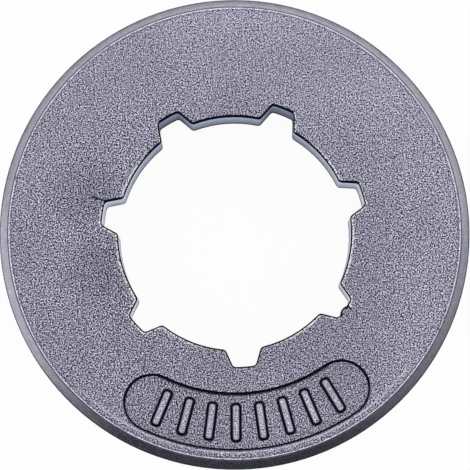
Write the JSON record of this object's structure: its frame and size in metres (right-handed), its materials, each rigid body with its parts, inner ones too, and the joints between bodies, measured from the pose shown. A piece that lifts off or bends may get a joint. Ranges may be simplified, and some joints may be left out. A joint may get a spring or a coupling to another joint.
{
  "type": "chain saw rim sprocket",
  "caption": "Cast steel drive ring with bevelled flanges, a toothed chain slot between them and a splined bore; it slides on a clutch drum's hub and drives a saw chain.",
  "frame": {"origin": "centre of the plain face, on the bore's axis", "axes": "+Z along the bore's axis towards the face with the sunk label panel; -Y through the middle of the panel"},
  "size_m": [0.0444, 0.0444, 0.014],
  "materials": {
    "cast_steel": "blasted cast steel, matt violet-grey with a fine grain, smoother on the outer bevels"
  },
  "bodies": {
    "root": {"rim_sprocket": "cast_steel"}
  },
  "joints": []
}
